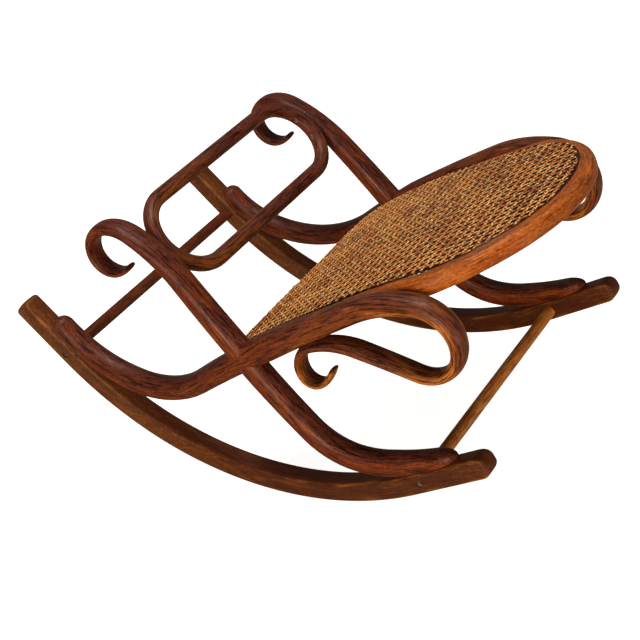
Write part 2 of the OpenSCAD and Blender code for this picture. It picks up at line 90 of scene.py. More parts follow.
def further(x, z, heading, length, turn):
    """The place past an arc of a length in mm and a turn in degrees. Places are in metres and degrees."""
    chord = length if turn == 0 else 360 * length / (math.pi * turn) * math.sin(math.radians(turn / 2))
    half = math.radians(heading + turn / 2)
    return x + chord * math.cos(half) * mm, z + chord * math.sin(half) * mm, heading + turn


def upright(places, y):
    """Stations of a rod that lies in an upright plane: middle, two half axes and length along."""
    made = []
    for x, z, heading, depth, width, along in places:
        h = math.radians(heading)
        across = Vector((-math.sin(h), 0, math.cos(h))) * depth / 2 * mm
        made.append((Vector((x - SHIFT, y, z)), across, Vector((0, 1, 0)) * width / 2 * mm, along * mm))
    return made


def bend_rod(name, stations, power, closed=False, round_sides=28):
    """A rod through its stations: one ring of edges, extruded from each station to the next."""
    bm = bmesh.new()
    ring = bmesh.ops.create_circle(bm, segments=round_sides, radius=1)["verts"]
    for v in ring:
        v.co = Vector(math.copysign(abs(c) ** (2 / power), c) for c in v.co)
    frames = []
    for middle, a, b, _ in stations:
        columns = (a, b, a.cross(b).normalized(), middle)
        frames.append(Matrix([[c[k] for c in columns] for k in range(3)] + [[0, 0, 0, 1]]))
    bmesh.ops.transform(bm, matrix=frames[0], verts=ring)
    first = edges = list(bm.edges)
    for before, after in zip(frames, frames[1:]):
        grown = bmesh.ops.extrude_edge_only(bm, edges=edges)["geom"]
        ring = {g for g in grown if isinstance(g, bmesh.types.BMVert)}
        edges = [g for g in grown if isinstance(g, bmesh.types.BMEdge) and set(g.verts) <= ring]
        bmesh.ops.transform(bm, matrix=after @ before.inverted(), verts=list(ring))
    if closed:
        bmesh.ops.bridge_loops(bm, edges=first + edges)
    else:
        for end in (first, edges):
            bmesh.ops.contextual_create(bm, geom=end)
    bmesh.ops.recalc_face_normals(bm, faces=bm.faces)
    mesh = bpy.data.meshes.new(name)
    bm.to_mesh(mesh)
    bm.free()
    piece = bpy.data.objects.new(name, mesh)
    bpy.context.collection.objects.link(piece)
    return piece


def cut(piece, cutters):
    """Cuts holes and notches out of a piece. Each cutter is a bmesh solid in its place."""
    for bm in cutters:
        mesh = bpy.data.meshes.new("cutter")
        bm.to_mesh(mesh)
        bm.free()
        cutter = bpy.data.objects.new("cutter", mesh)
        bpy.context.collection.objects.link(cutter)
        bore = piece.modifiers.new("bore", "BOOLEAN")
        bore.object = cutter
        bore.operation = "DIFFERENCE"
        bore.solver = "EXACT"
        shaped = piece.evaluated_get(bpy.context.evaluated_depsgraph_get())
        whole = bpy.data.meshes.new_from_object(shaped)
        piece.modifiers.clear()
        piece.data = whole
        bpy.data.objects.remove(cutter)


def bore_over_head(place, axis, depth, flare=0):
    """The cutter of a screw head's recess: it opens from just under the head, along an axis."""
    turn = Vector(axis).to_track_quat("Z", "Y").to_matrix().to_4x4()
    set_in = Matrix.Translation(Vector(place)) @ turn @ Matrix.Translation((0, 0, depth / 2 - HEAD_SINK))
    half = SCREW_HEAD / 2
    bm = bmesh.new()
    bmesh.ops.create_cone(
        bm, cap_ends=True, segments=32, radius1=half, radius2=half + flare, depth=depth, matrix=set_in
    )
    return bm


def finish_rod(piece, stations, material, slot, *nodes):
    """Smooths a rod, records where each point lies in the straight wood before bending, and rides it."""
    middles = np.array([s[0] for s in stations])
    axes = [np.array([s[k] for s in stations]) for k in (1, 2)]
    halves = [np.linalg.norm(a, axis=1) for a in axes]
    mesh = piece.data
    points = np.array([v.co for v in mesh.vertices])
    near = np.array([np.argmin(((middles - p) ** 2).sum(1)) for p in points])
    off = points - middles[near]
    flat = [(off * axes[k][near]).sum(1) / halves[k][near] for k in (0, 1)]
    runs = np.cross(axes[0], axes[1])[near]
    along = np.array([s[3] for s in stations])[near] + (off * runs).sum(1) / np.linalg.norm(runs, axis=1)
    grain = mesh.attributes.new("grain", "FLOAT_VECTOR", "POINT")
    grain.data.foreach_set("vector", np.stack([along, *flat], 1).ravel())
    corner = np.minimum(np.abs(flat[0]) / halves[0][near], np.abs(flat[1]) / halves[1][near])
    mesh.attributes.new("corner", "FLOAT", "POINT").data.foreach_set("value", corner)
    mesh.shade_smooth()
    mesh.set_sharp_from_angle(angle=math.radians(38))
    mesh.materials.clear()
    mesh.materials.append(material)
    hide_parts(*nodes)
    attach(piece, "root")


def linear(hex_colour):
    """An sRGB hex colour as linear RGBA."""
    parts = [int(hex_colour[i:i + 2], 16) / 255 for i in (1, 3, 5)]
    return [p / 12.92 if p <= 0.04045 else ((p + 0.055) / 1.055) ** 2.4 for p in parts] + [1]


def node(material, kind, inputs=None, **settings):
    """Adds one node. Its inputs are linked to other outputs or set to values; settings are properties."""
    tree = material.node_tree
    made = tree.nodes.new(kind)
    for key, value in settings.items():
        setattr(made, key, value)
    for key, value in (inputs or {}).items():
        if isinstance(value, bpy.types.NodeSocket):
            tree.links.new(value, made.inputs[key])
        else:
            made.inputs[key].default_value = value
    return made


def layered(material, base, fields, layers):
    """A base colour with layers over it. Each layer names a field, the low and high value between
    which its colour comes in, and the most of it that shows."""
    colour = linear(base)
    for field, low, high, most, shade in layers:
        shown = {"Value": fields[field], "From Min": low, "From Max": high, "To Max": most}
        share = node(material, "ShaderNodeMapRange", shown, interpolation_type="SMOOTHSTEP").outputs[0]
        mixed = {"Factor": share, 6: colour, 7: linear(shade)}
        colour = node(material, "ShaderNodeMix", mixed, data_type="RGBA").outputs[2]
    return colour


def varnished_beech(name, base, layers, rough):
    """Steam-bent beech under old brown shellac: satin, with a figure that follows each bend."""
    wood = bpy.data.materials.new(name)
    wood.use_nodes = True
    wood.node_tree.nodes.clear()
    grain = node(wood, "ShaderNodeAttribute", attribute_name="grain").outputs["Vector"]
    corner = node(wood, "ShaderNodeAttribute", attribute_name="corner").outputs["Fac"]
    fields = {}
    # Each field by its width across the grain in mm and how many times longer it is along it
    for field, across, stretch, detail in (
        ("fibres", 1.0, 30, 3),
        ("streaks", 2.2, 12, 4),
        ("flecks", 0.8, 6, 2),
        ("clouds", 22, 3.5, 3),
        ("rubs", 8, 5, 4),
        ("mottle", 1.9, 2.6, 3),
    ):
        drawn = node(wood, "ShaderNodeMapping", {"Vector": grain, "Scale": (1 / stretch, 1, 1)})
        noise = {"Vector": drawn.outputs[0], "Scale": 1 / (across * mm), "Detail": detail, "Roughness": 0.6}
        fields[field] = node(wood, "ShaderNodeTexNoise", noise).outputs["Fac"]
    # Corners count as worn where the rubs are strong. Painted shade and a purplish painted sheen lie in patches
    # on what faces up.
    fields["worn"] = node(wood, "ShaderNodeMath", {0: corner, 1: fields["rubs"]}, operation="ADD").outputs[0]
    facing = node(wood, "ShaderNodeNewGeometry").outputs["Normal"]
    up = node(wood, "ShaderNodeSeparateXYZ", {0: facing}).outputs[2]
    patches = {0: fields["clouds"], 1: 1.6, 2: up}
    fields["top_shade_and_sheen"] = node(wood, "ShaderNodeMath", patches, operation="MULTIPLY_ADD").outputs[0]
    fields["along"] = node(wood, "ShaderNodeSeparateXYZ", {0: grain}).outputs[0]
    colour = layered(wood, base, fields, layers)
    dulled = {"Value": fields["rubs"], "From Min": 0.3, "From Max": 0.7, "To Min": rough, "To Max": rough + 0.2}
    dull = node(wood, "ShaderNodeMapRange", dulled).outputs[0]
    raised = {0: fields["streaks"], 1: fields["rubs"]}
    relief = node(wood, "ShaderNodeMath", raised, operation="ADD").outputs[0]
    bump = node(wood, "ShaderNodeBump", {"Height": relief, "Strength": 0.7, "Distance": 0.8 * mm}).outputs[0]
    shader = node(wood, "ShaderNodeBsdfPrincipled", {"Base Color": colour, "Roughness": dull, "Normal": bump})
    shader.inputs["Specular IOR Level"].default_value = 0.13
    node(wood, "ShaderNodeOutputMaterial", {"Surface": shader.outputs[0]})
    return wood


# Golden brown mottled with crazed varnish, redder and darker towards the knee end, with patches of
# painted shade and sheen on top
runner_beech = varnished_beech("worn_varnished_beech", "#5d3212", [
    ("mottle", 0.50, 0.34, 0.4, "#94602a"),
    ("along", 0.24, 0.44, 0.88, "#431a06"),
    ("clouds", 0.42, 0.62, 0.6, "#46200a"),
    ("rubs", 0.45, 0.75, 0.4, "#85501d"),
    ("mottle", 0.50, 0.68, 0.6, "#321508"),
    ("fibres", 0.48, 0.70, 0.6, "#281006"),
    ("streaks", 0.47, 0.66, 0.6, "#240d05"),
    ("worn", 1.25, 1.50, 0.3, "#a06c30"),
    ("top_shade_and_sheen", 1.35, 1.80, 0.4, "#45211a"),
], 0.34)
FOOT_STRAIGHT = 86
KNEE_STRAIGHT = 111
FOOT_STRETCHER = on_straight(-1, 5 * mm)
KNEE_STRETCHER = on_straight(1, 15 * mm)
# Each screw's end of the runner, its distance past the bend in mm or before the bend's end in degrees
RUNNER_SCREWS = [(-1, 26, 0), (-1, 0, 5), (1, 50, 0), (1, 0, 4)]


def eased(distance, radius):
    """The runner's breadth in mm at a distance from an end that is rounded to a radius."""
    d = min(distance, radius)
    return RUNNER_SIDE - 2 * radius + 2 * math.sqrt(radius ** 2 - (radius - d) ** 2)


for side, toward in SIDES.items():
    arc_length = 2 * HALF_BEND * RUNNER_RADIUS / mm
    start = on_straight(-1, FOOT_STRAIGHT * mm)
    lengths = [(0, 0), (FOOT_STRAIGHT, 0), (arc_length, 2 * BEND), (KNEE_STRAIGHT, 0)]
    places = walk(*start, -BEND, [(*bend, RUNNER_SIDE, RUNNER_SIDE) for bend in lengths], 9)
    full = places[-1][5]
    ends = [0, 0.4, 1.2, 2.5, 4, 6, 8, 10.5, 13]
    inner = [p for p in places if ends[-1] + 4 < p[5] < full - ends[-1] - 4]
    foot = [further(*places[0][:3], d, 0) + (eased(d, 6), eased(d, 5), d) for d in ends]
    knee = [further(*places[-1][:3], -d, 0) + (eased(d, 13), eased(d, 6), full - d) for d in reversed(ends)]
    stations = upright(foot + inner + knee, toward * FRAME_Y)
    runner = bend_rod("runner_" + side, stations, 5, round_sides=40)
    bores = []
    for x, z in (FOOT_STRETCHER, KNEE_STRETCHER):
        face = (x - SHIFT, toward * (FRAME_Y + RUNNER_HALF - STRETCHER_RECESS), z)
        bores.append(bore_over_head(face, (0, toward, 0), 10 * mm))
    for way, past, before in RUNNER_SCREWS:
        a = HALF_BEND - math.radians(before)
        r = RUNNER_RADIUS + RUNNER_HALF - RUNNER_RECESS
        x = way * (r * math.sin(a) + past * mm * math.cos(a))
        z = BEND_HEIGHT - r * math.cos(a) + past * mm * math.sin(a)
        face = (x - SHIFT, toward * FRAME_Y, z)
        outward = (way * math.sin(a), 0, -math.cos(a))
        bores.append(bore_over_head(face, outward, 14 * mm, RECESS_FLARE))
    cut(runner, bores)
    finish_rod(runner, stations, runner_beech, "runner_wood", "runner_" + side)

# Stretchers: two thin turned dowels of the same beech. Each end is glued into a socket bored in
# a runner and held by a screw from outside. The knee one is painted paler, as lit, and the foot one
# darker, as in shade.
dowel_beech = {
    # Painted darker, as in shade
    "foot_stretcher": varnished_beech("painted_shade_dowel", "#4f2210", [
        ("clouds", 0.42, 0.62, 0.7, "#38140a"),
        ("fibres", 0.48, 0.70, 0.6, "#220a05"),
        ("rubs", 0.45, 0.70, 0.4, "#77401c"),
        ("streaks", 0.50, 0.66, 0.6, "#200a05"),
    ], 0.4),
    # Painted paler, as lit
    "knee_stretcher": varnished_beech("painted_lit_dowel", "#ad6a30", [
        ("clouds", 0.42, 0.62, 0.6, "#80441c"),
        ("rubs", 0.45, 0.70, 0.6, "#d0954e"),
        ("fibres", 0.48, 0.70, 0.6, "#3c190a"),
        ("streaks", 0.50, 0.66, 0.6, "#45200d"),
        ("flecks", 0.60, 0.72, 0.6, "#240c06"),
    ], 0.4),
}
STRETCHER = 15
STRETCHER_REACH = 179.5 * mm
steps = 36
for name, (x, z) in {"foot_stretcher": FOOT_STRETCHER, "knee_stretcher": KNEE_STRETCHER}.items():
    stations = [
        (
            Vector((x - SHIFT, STRETCHER_REACH * (2 * i / steps - 1), z)),
            Vector((0, 0, 1)) * STRETCHER / 2 * mm,
            Vector((1, 0, 0)) * STRETCHER / 2 * mm,
            2 * STRETCHER_REACH * i / steps,
        )
        for i in range(steps + 1)
    ]
    stretcher = bend_rod(name, stations, 2)
    finish_rod(stretcher, stations, dowel_beech[name], "stretcher_wood", name)

# Seat scrolls: round rods of bent beech. Each starts in a blunt nose screwed to its runner, dips,
# rises through the crossing to the knee end, and comes back in a long loop with a thin curl.
# The two were bent by hand, and the right one leaves its runner sooner.
SEAT_NOSE = {"left": 30, "right": 17}
SEAT_ROUND, FOOT_ROUND = 2.1, 2.5
SEAT_RISE = {
    "left": [(114, 38, 30, 31), (108, 48, 28, 31), (123, -4, 33, 31)],
    "right": [(75, 36, 28, 31), (160, 50, 25, 31), (93, -4, 33, 31)],
}
SEAT_LOOP = {
    "left": [(140, -3, 27, 31), (80, -27, 24, 30), (79, -103, 16, 28)],
    "right": [(137, -3, 27, 31), (83, -28, 24, 30), (83, -103, 16, 28)],
}
SEAT_CURL = [
    (68, -93, 13, 28), (71, 3, 17, 28), (64, 38, 12, 27),
    (45, 88, 8, 26), (35, 116, 8, 24), (18, 15, 6, 20),
]
TIP_ROUND = 2.4
# A scroll starts this much above its runner's face, and its nose turns a little from the runner
SEAT_LIFT, FOOT_LIFT = 8.3 * mm, 5.2 * mm
NOSE_TURN = 4
# Where each scroll lies in the crossing: its place, its heading and the depth of its wood
CROSSING = {
    "left": {"seat": (18.4, 182.455, 42.2, 31.5), "foot": (18.26, 181.485, 138.14, 29.3)},
    "right": {"seat": (18.05, 181.93, 42.63, 29.7), "foot": (18.19, 181.41, 138.92, 29.3)},
}
GLUE_ROOM = 0.3

# Orange brown under dark red stain, near-black in the streaks, with purplish painted shade and sheen on top
dark_figure = [
    ("clouds", 0.38, 0.58, 0.8, "#511805"),
    ("rubs", 0.50, 0.75, 0.45, "#8c430e"),
    ("top_shade_and_sheen", 0.95, 1.60, 0.7, "#4e2a24"),
    ("mottle", 0.46, 0.32, 0.25, "#94501f"),
    ("mottle", 0.52, 0.68, 0.5, "#1e0602"),
    ("fibres", 0.46, 0.68, 0.6, "#1e0602"),
    ("streaks", 0.48, 0.62, 0.85, "#160402"),
    ("worn", 1.25, 1.55, 0.3, "#a35c1e"),
]
seat_scroll_beech = varnished_beech(
    "dark_varnished_beech", "#6a300c", [("along", 0.34, 0.44, 0.9, "#b26c2a")] + dark_figure, 0.3
)
scroll_beech = varnished_beech("dark_varnished_beech_scroll", "#74350f", dark_figure, 0.3)


def over_runner(x, z):
    """A point of a scroll, kept on or above the top face of the runner."""
    top = RUNNER_RADIUS - RUNNER_HALF
    if math.atan2(abs(x), BEND_HEIGHT - z) < HALF_BEND:
        out = Vector((x, z - BEND_HEIGHT))
        out *= min(1, top / out.length)
        return out[0], BEND_HEIGHT + out[1]
    toward = -1 if x < 0 else 1
    start = on_straight(toward, 0, RUNNER_HALF)
    up = (-toward * math.sin(HALF_BEND), math.cos(HALF_BEND))
    height = min((x - start[0]) * up[0] + (z - start[1]) * up[1], 0)
    return x - height * up[0], z - height * up[1]


def scroll(name, toward, start, heading, bends, nose, power):
    """A tapering scroll with a round nose that sits on the runner, and a rounded tip. A power of 2
    makes its section round, and a higher one squarer."""
    places = walk(*start, heading, bends, 6)
    depth, width = bends[0][2:]
    front = []
    for t in (math.radians(12 * j) for j in range(7, 0, -1)):
        before = -nose * math.sin(t)
        front.append(further(*start, heading, before, 0) + (depth * math.cos(t), width * math.cos(t), before))
    x, z, h, depth, width, along = places[-1]
    tip = []
    for t in (math.radians(16 * j) for j in range(1, 6)):
        past = TIP_ROUND * math.sin(t)
        tip.append(further(x, z, h, past, 0) + (depth * math.cos(t), width * math.cos(t), along + past))
    stations = upright(front + places + tip, toward * FRAME_Y)
    rod = bend_rod(name, stations, power)
    for v in rod.data.vertices:
        x, z = over_runner(v.co.x + SHIFT, v.co.z)
        v.co.x, v.co.z = x - SHIFT, z
    return rod, stations


def halving(across, width, power, side, toward):
    """The cutter that lets a rod into another: the half of the rod that lies on one side of the
    frame's middle, a little larger for the glue. The power makes its section round or squarer."""
    x, z, heading, depth = across
    bm = bmesh.new()
    bmesh.ops.create_cone(bm, cap_ends=True, segments=64, radius1=1, radius2=1, depth=90 * mm)
    for v in bm.verts:
        for k, half in ((0, depth / 2), (1, width / 2)):
            v.co[k] = math.copysign(abs(v.co[k]) ** (2 / power), v.co[k]) * (half + GLUE_ROOM) * mm
    whole = list(bm.verts) + list(bm.edges) + list(bm.faces)
    cut_to = bmesh.ops.bisect_plane(
        bm, geom=whole, plane_co=(0, 0, 0), plane_no=(0, side, 0), clear_inner=True
    )["geom_cut"]
    bmesh.ops.contextual_create(bm, geom=[g for g in cut_to if isinstance(g, bmesh.types.BMEdge)])
    lie = Matrix.Rotation(math.radians(90 - heading), 4, "Y")
    bm.transform(Matrix.Translation((x * mm - SHIFT, toward * FRAME_Y, z * mm)) @ lie)
    bmesh.ops.recalc_face_normals(bm, faces=bm.faces)
    return bm


for side, toward in SIDES.items():
    start = on_straight(-1, SEAT_NOSE[side] * mm, RUNNER_HALF + SEAT_LIFT)
    bends = [(0, 0, 23, 29)] + SEAT_RISE[side] + SEAT_LOOP[side] + SEAT_CURL
    heading = -BEND - NOSE_TURN
    seat_scroll, stations = scroll("seat_scroll_" + side, toward, start, heading, bends, 14, SEAT_ROUND)
    cut(seat_scroll, [halving(CROSSING[side]["foot"], 30, FOOT_ROUND, -toward, toward)])
    finish_rod(seat_scroll, stations, seat_scroll_beech, "scroll_wood", "seat_scroll_" + side)

# Foot scrolls: softly squared rods that start on the runner near the knee end, rise past the
# crossing to the foot end and roll over into a curl. Each is let half into the seat scroll.
FOOT_RISE = [(55, -8.5, 28, 30), (41, -17.5, 28, 30), (71, -43.5, 27, 30), (94, -5, 30, 30)]
FOOT_TOP = {
    "left": [(124, -3, 24, 30), (82, 25, 15, 30)],
    "right": [(124, 3.5, 24, 30), (82, 22, 15, 30)],
}
FOOT_CURL = [(41, 49, 15, 27), (41, 72, 11, 25), (34, 75, 10, 24), (29, 61, 6, 21)]
for side, toward in SIDES.items():
    start = on_straight(1, 42 * mm, RUNNER_HALF + FOOT_LIFT)
    bends = [(0, 0, 22, 29)] + FOOT_RISE + FOOT_TOP[side] + FOOT_CURL
    heading = 180 + BEND - NOSE_TURN
    foot_scroll, stations = scroll("foot_scroll_" + side, toward, start, heading, bends, 33, FOOT_ROUND)
    x, z = (sum(CROSSING[side][rod][k] for rod in ("seat", "foot")) / 2 * mm for k in (0, 1))
    # The crossing screw goes in from the inner face of this scroll
    head = bore_over_head((x - SHIFT, toward * (FRAME_Y - 14 * mm), z), (0, -toward, 0), 8 * mm)
    cut(foot_scroll, [halving(CROSSING[side]["seat"], 31, SEAT_ROUND, toward, toward), head])
    finish_rod(foot_scroll, stations, scroll_beech, "scroll_wood", "foot_scroll_" + side)

# Foot ring: one round rod bent to a long oval and scarfed shut. Its flattened ends are screwed
# to the inner faces of the foot scrolls.
RING = {"x": -101.175, "z": 277.96, "slope": 36, "breadth": 99, "end": 161.5, "rod": 18.6, "flat": 0.8}
slope = math.radians(RING["slope"])
ring_run = Vector((math.cos(slope), 0, -math.sin(slope)))
ring_up = Vector((math.sin(slope), 0, math.cos(slope)))
ring_middle = Vector((RING["x"] * mm - SHIFT, 0, RING["z"] * mm))
half_bar = RING["end"] - RING["breadth"] / 2
half_breadth = RING["breadth"] / 2
half_steps = 24
oval = []
for turn in (1, -1):
    for i in range(half_steps):
        a = math.radians(180 * i / half_steps)
        oval.append((turn * half_breadth * math.cos(a), turn * (half_bar + half_breadth * math.sin(a))))
    for i in range(half_steps):
        oval.append((-turn * half_breadth, turn * half_bar * (1 - 2 * i / half_steps)))
stations = []
along = 0.0
for i, (u, v) in enumerate(oval):
    before, after = oval[i - 1], oval[(i + 1) % len(oval)]
    run = Vector((after[0] - before[0], after[1] - before[1])).normalized()
    side_axis = ring_run * run[1] - Vector((0, 1, 0)) * run[0]
    place = ring_middle + (ring_run * u + Vector((0, v, 0))) * mm
    stations.append((place, side_axis * RING["rod"] / 2 * mm, ring_up * RING["rod"] / 2 * mm, along * mm))
    along += math.dist((u, v), after)
foot_ring = bend_rod("foot_ring", stations, 2, closed=True)
flat_at = (RING["end"] + RING["rod"] / 2 - RING["flat"]) * mm
for v in foot_ring.data.vertices:
    v.co.y = max(-flat_at, min(flat_at, v.co.y))
SCREW_OFF_MIDDLE = 15
RING_RECESS = 3
bulge = math.sqrt(half_breadth ** 2 - SCREW_OFF_MIDDLE ** 2) - half_breadth
heads = []
for toward in SIDES.values():
    for u in (-SCREW_OFF_MIDDLE, SCREW_OFF_MIDDLE):
        place = ring_middle + ring_run * u * mm
        face = (place[0], toward * (RING["end"] + bulge - RING["rod"] / 2 + RING_RECESS) * mm, place[2])
        heads.append(bore_over_head(face, (0, -toward, 0), 12 * mm))
cut(foot_ring, heads)
# Brown where hands rub it, nearly black in the streaks, with painted shade and sheen on top
ring_beech = varnished_beech("dark_varnished_beech_ring", "#7f471e", dark_figure, 0.3)
finish_rod(foot_ring, stations, ring_beech, "scroll_wood", "foot_ring")

# Seat hoop: a closed rail of crowned section, bent to a rectangle at the low end and an oval at
# the knee end, and bowed up along its length. The seat scrolls are screwed to its sides.
HOOP_LENGTH = 414
HOOP_WIDTH, HOOP_DEPTH = 27, 23.5
HOOP_FOOT = (-16.167, 169.561)
SLOPE, BOW = 42.5, 7
CHORD = math.radians(SLOPE - BOW)
BOW_RADIUS = HOOP_LENGTH / 2 / math.sin(math.radians(BOW))
BOW_MIDDLE = (
    HOOP_FOOT[0] + BOW_RADIUS * math.sin(math.radians(SLOPE)),
    HOOP_FOOT[1] - BOW_RADIUS * math.cos(math.radians(SLOPE)),
)
CANE_DEPTH = 2
SCROLL_WIDTH, SCROLL_GAP = 31, 0.1
HOOP_SIDE = FRAME_Y / mm - SCROLL_WIDTH / 2 - SCROLL_GAP - HOOP_WIDTH / 2
OVAL_LENGTH = 120
OVAL_START = HOOP_LENGTH - HOOP_WIDTH / 2 - OVAL_LENGTH
LOW_CORNER = 40
OVAL_SHOULDER = 49
HOOP_SCREWS = (80, 140, 200)
HOOP_RECESS = 8

# Amber on its outer face, painted browner on top as shade and sheen, with small black bruises and a
# warm worn rim
hoop_beech = varnished_beech("amber_varnished_beech", "#964a10", [
    ("clouds", 0.42, 0.60, 0.7, "#7c3808"),
    ("rubs", 0.45, 0.72, 0.5, "#b56a20"),
    ("top_shade_and_sheen", 1.25, 1.75, 0.5, "#844a22"),
    ("mottle", 0.48, 0.32, 0.3, "#cb8c48"),
    ("mottle", 0.54, 0.68, 0.6, "#562407"),
    ("fibres", 0.48, 0.70, 0.6, "#4f2208"),
    ("streaks", 0.50, 0.64, 0.6, "#431a06"),
    ("worn", 1.20, 1.50, 0.3, "#cc8038"),
    ("flecks", 0.60, 0.68, 0.85, "#200905"),
], 0.32)


def on_bow(u, v, sink):
    """The point of the seat over a length along its chord, sunk under the cane's face, in metres,
    with the way along the seat and the way out of it."""
    up = Vector((-math.sin(CHORD), math.cos(CHORD)))
    on_chord = Vector((HOOP_FOOT[0] + u * math.cos(CHORD), HOOP_FOOT[1] + u * math.sin(CHORD)))
    out = on_chord - Vector(BOW_MIDDLE)
    rise = -out.dot(up) + math.sqrt(out.dot(up) ** 2 - out.dot(out) + (BOW_RADIUS - sink) ** 2)
    out += rise * up
    point = Vector(((out[0] + BOW_MIDDLE[0]) * mm - SHIFT, v * mm, (out[1] + BOW_MIDDLE[1]) * mm))
    out.normalize()
    return point, Vector((out[1], 0, -out[0])), Vector((out[0], 0, out[1]))


def arc(centre, radius, start, end, step):
    """Points of an arc, from one angle to another, in degrees."""
    count = math.ceil(abs(end - start) / step)
    angles = [math.radians(start + (end - start) * i / count) for i in range(count + 1)]
    return [(centre[0] + radius * math.cos(a), centre[1] + radius * math.sin(a)) for a in angles]


def half_outline(low, corner, straight_to, oval, half, shoulder, step):
    """Half of a seat outline: low corner, side, and an oval of a tight shoulder and a wide tip. The
    oval is given by where it starts and its length."""
    start, length = oval
    tip = (length ** 2 + half ** 2 - 2 * half * shoulder) / (2 * (length - shoulder))
    turn = math.degrees(math.atan2(half - shoulder, tip - length))
    return (
        arc((low[0] + corner, low[1] - corner), corner, 180, 90, step)
        + straight_to
        + arc((start, half - shoulder), shoulder, 90, turn, step / 2)
        + arc((start + length - tip, 0), tip, turn, 0, step / 4)[1:]
    )


side_steps = 26
low_side = (HOOP_WIDTH / 2, HOOP_SIDE)
side_start = low_side[0] + LOW_CORNER
side_run = OVAL_START - side_start
sides = [(side_start + side_run * i / side_steps, HOOP_SIDE) for i in range(1, side_steps)]
oval = (OVAL_START, OVAL_LENGTH)
half_rail = half_outline(low_side, LOW_CORNER, sides, oval, HOOP_SIDE, OVAL_SHOULDER, 8)
low_steps = 28
low_half = HOOP_SIDE - LOW_CORNER
low_bar = [(low_side[0], low_half * (2 * i / low_steps - 1)) for i in range(1, low_steps)]
rail = half_rail + [(u, -v) for u, v in reversed(half_rail[:-1])] + low_bar
stations = []
along = 0.0
for i, (u, v) in enumerate(rail):
    before, after = rail[i - 1], rail[(i + 1) % len(rail)]
    run = Vector((after[0] - before[0], after[1] - before[1])).normalized()
    place, ahead, up = on_bow(u, v, CANE_DEPTH + HOOP_DEPTH / 2)
    side_axis = ahead * -run[1] + Vector((0, 1, 0)) * run[0]
    stations.append((place, side_axis * HOOP_WIDTH / 2 * mm, up * HOOP_DEPTH / 2 * mm, along * mm))
    along += math.dist((u, v), after)
seat_hoop = bend_rod("seat_hoop", stations, 2.6, closed=True, round_sides=32)
heads = []
for toward in SIDES.values():
    for u in HOOP_SCREWS:
        place = on_bow(u, 0, CANE_DEPTH + HOOP_DEPTH / 2)[0]
        face = (place[0], toward * (HOOP_SIDE - HOOP_WIDTH / 2 + HOOP_RECESS) * mm, place[2])
        heads.append(bore_over_head(face, (0, -toward, 0), 16 * mm))
cut(seat_hoop, heads)
finish_rod(seat_hoop, stations, hoop_beech, "hoop_wood", "seat_hoop")

# Cane: six-way hand caning of split rattan. Pairs run along and across the seat and lock each
# other, and single strands run both ways aslant. All go down into holes round the rail's top.
PITCH = 11.5
# Half the distance between the strands of a pair, and how far all strands lean off the seat's middle
PAIR = 1.3
LEAN = 0.08
CROWN = 0.4
PAIR_WAVE = 0.5
SLANT_WAVE = 0.8
CANE_SINK = 1.4
# A strand goes down this far within this length of its end. Pairs begin to close before that.
DIVE, DIVE_LENGTH = 2.2, 2.5
PINCH_LENGTH = 7
CANE_LOW, CANE_HALF, CANE_TAPER = 3, 168, 110
CANE_OVAL, CANE_END = 125, HOOP_LENGTH - 15
OVAL_HALF, CANE_SHOULDER = 150, 112
cane_side = [(CANE_TAPER, CANE_HALF)]
cane_oval = (CANE_END - CANE_OVAL, CANE_OVAL)
cane_half = half_outline(
    (CANE_LOW, CANE_HALF), LOW_CORNER, cane_side, cane_oval, OVAL_HALF, CANE_SHOULDER, 8
)
cane_u, cane_v = (np.array([p[k] for p in cane_half]) for k in (0, 1))


def split_rattan(name, base, layers):
    """Split rattan with its smooth, slightly glossy skin up."""
    skin = bpy.data.materials.new(name)
    skin.use_nodes = True
    skin.node_tree.nodes.clear()
    lie = node(skin, "ShaderNodeAttribute", attribute_name="strand").outputs["Vector"]
    place = node(skin, "ShaderNodeTexCoord").outputs["Object"]
    parts = node(skin, "ShaderNodeSeparateXYZ", {0: lie}).outputs
    drawn = node(skin, "ShaderNodeMapping", {"Vector": lie, "Scale": (1 / 9, 7.3, 0.6)}).outputs[0]
    # One shade for each strand, streaks 9 mm long on it, wide stains, and its depth in the weave
    stain = {"Vector": place, "Scale": 1 / (45 * mm), "Detail": 3}
    fields = {
        "own": node(skin, "ShaderNodeTexWhiteNoise", {"W": parts[1]}, noise_dimensions="1D").outputs["Value"],
        "streaks": node(skin, "ShaderNodeTexNoise", {"Vector": drawn, "Scale": 1, "Detail": 3}).outputs[0],
        "stains": node(skin, "ShaderNodeTexNoise", stain).outputs[0],
        "height": parts[2],
    }
    colour = layered(skin, base, fields, layers)
    shader = node(skin, "ShaderNodeBsdfPrincipled", {"Base Color": colour, "Roughness": 0.34})
    shader.inputs["Specular IOR Level"].default_value = 0.2
    node(skin, "ShaderNodeOutputMaterial", {"Surface": shader.outputs[0]})
    return skin


